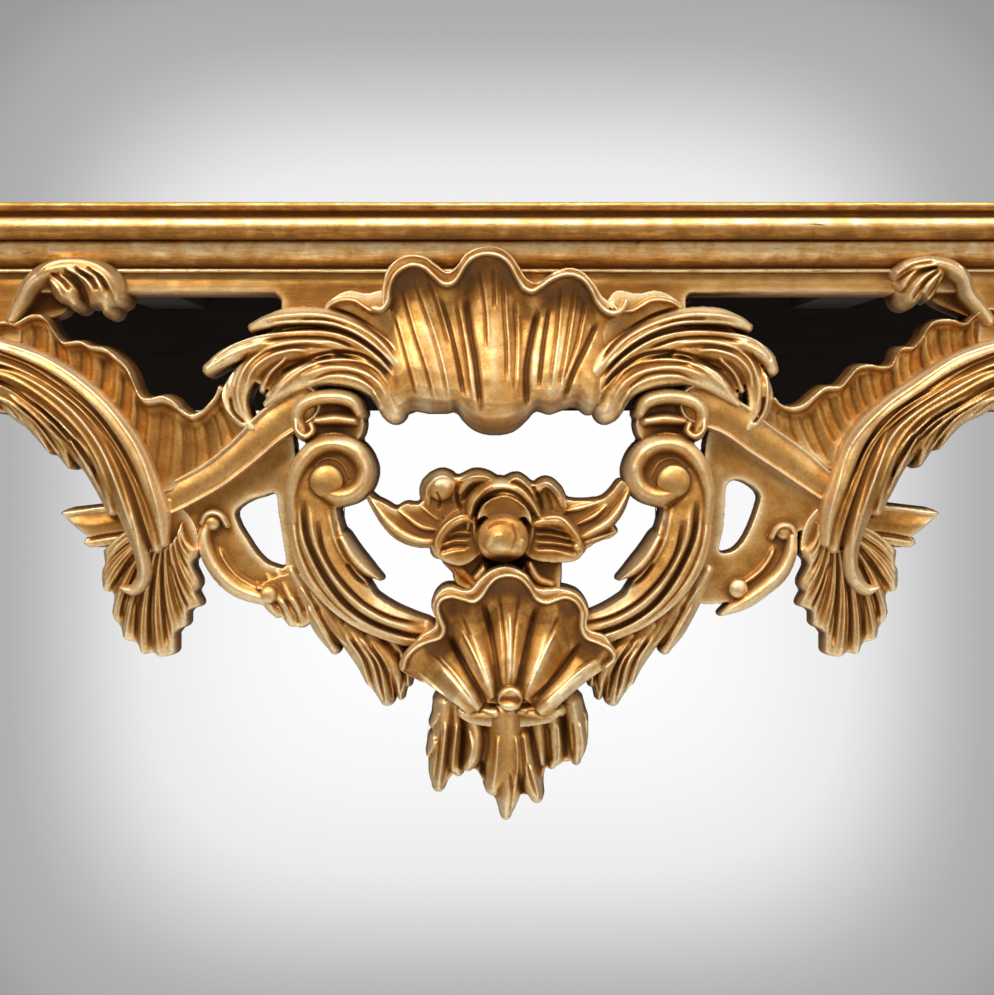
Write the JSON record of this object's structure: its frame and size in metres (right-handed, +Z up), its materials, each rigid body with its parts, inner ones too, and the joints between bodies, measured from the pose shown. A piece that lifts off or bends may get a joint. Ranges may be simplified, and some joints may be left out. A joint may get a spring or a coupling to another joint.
{
  "type": "console table",
  "caption": "Wall console table with a moulded top, carved and gilded shell-and-scroll aprons and cabriole legs with leaf knees and scroll feet.",
  "frame": {"origin": "on the floor under the middle of the table", "axes": "+X to the viewer's right along the table, +Y towards the wall so that the carved front faces -Y, +Z up"},
  "size_m": [1, 0.42, 0.88],
  "materials": {
    "gilt_carving": "carved wood, water-gilded over red bole, rubbed, and toned dark in the hollows",
    "gilt_leg": "the same gilding on the turned-out legs",
    "gilt_moulding": "gilded mouldings, rubbed through to the bole along the beads",
    "gilt_board": "duller toned gilding on the boards behind the carving, dark stain inside",
    "stained_top": "dark stained and waxed board",
    "stained_wood": "rough wood stained almost black",
    "pale_wood": "bare beech",
    "iron_screw": "dull iron"
  },
  "bodies": {
    "root": {"apron_dowels": "pale_wood", "back_rail": "stained_wood", "bracket_scroll_left": "gilt_carving", "bracket_scroll_right": "gilt_carving", "carving_screws": "iron_screw", "cornice_front": "gilt_moulding", "cornice_left": "gilt_moulding", "cornice_right": "gilt_moulding", "crest_leaf_left": "gilt_carving", "crest_leaf_right": "gilt_carving", "curl_left": "gilt_carving", "curl_right": "gilt_carving", "flower": "gilt_carving", "front_board": "gilt_board", "glue_blocks": "stained_wood", "inner_scroll_left": "gilt_carving", "inner_scroll_right": "gilt_carving", "leaf_drop_left": "gilt_carving", "leaf_drop_right": "gilt_carving", "leg_back_left": "gilt_leg", "leg_back_right": "gilt_leg", "leg_ear_left": "gilt_carving", "leg_ear_right": "gilt_carving", "leg_front_left": "gilt_leg", "leg_front_right": "gilt_leg", "lower_shell": "gilt_carving", "outer_leaf_left": "gilt_carving", "outer_leaf_right": "gilt_carving", "pendant_leaves": "gilt_carving", "rail_pegs": "pale_wood", "rocaille_border_left": "gilt_carving", "rocaille_border_right": "gilt_carving", "scroll_leaf_left": "gilt_carving", "scroll_leaf_right": "gilt_carving", "side_apron_left": "gilt_carving", "side_apron_right": "gilt_carving", "side_rail_left": "gilt_board", "side_rail_right": "gilt_board", "side_shell_left": "gilt_carving", "side_shell_right": "gilt_carving", "strut_left": "gilt_carving", "strut_right": "gilt_carving", "top_battens": "stained_wood", "top_edge_front": "gilt_moulding", "top_edge_left": "gilt_moulding", "top_edge_right": "gilt_moulding", "top_panel": "stained_top", "top_screws": "iron_screw", "upper_shell": "gilt_carving"}
  },
  "joints": []
}
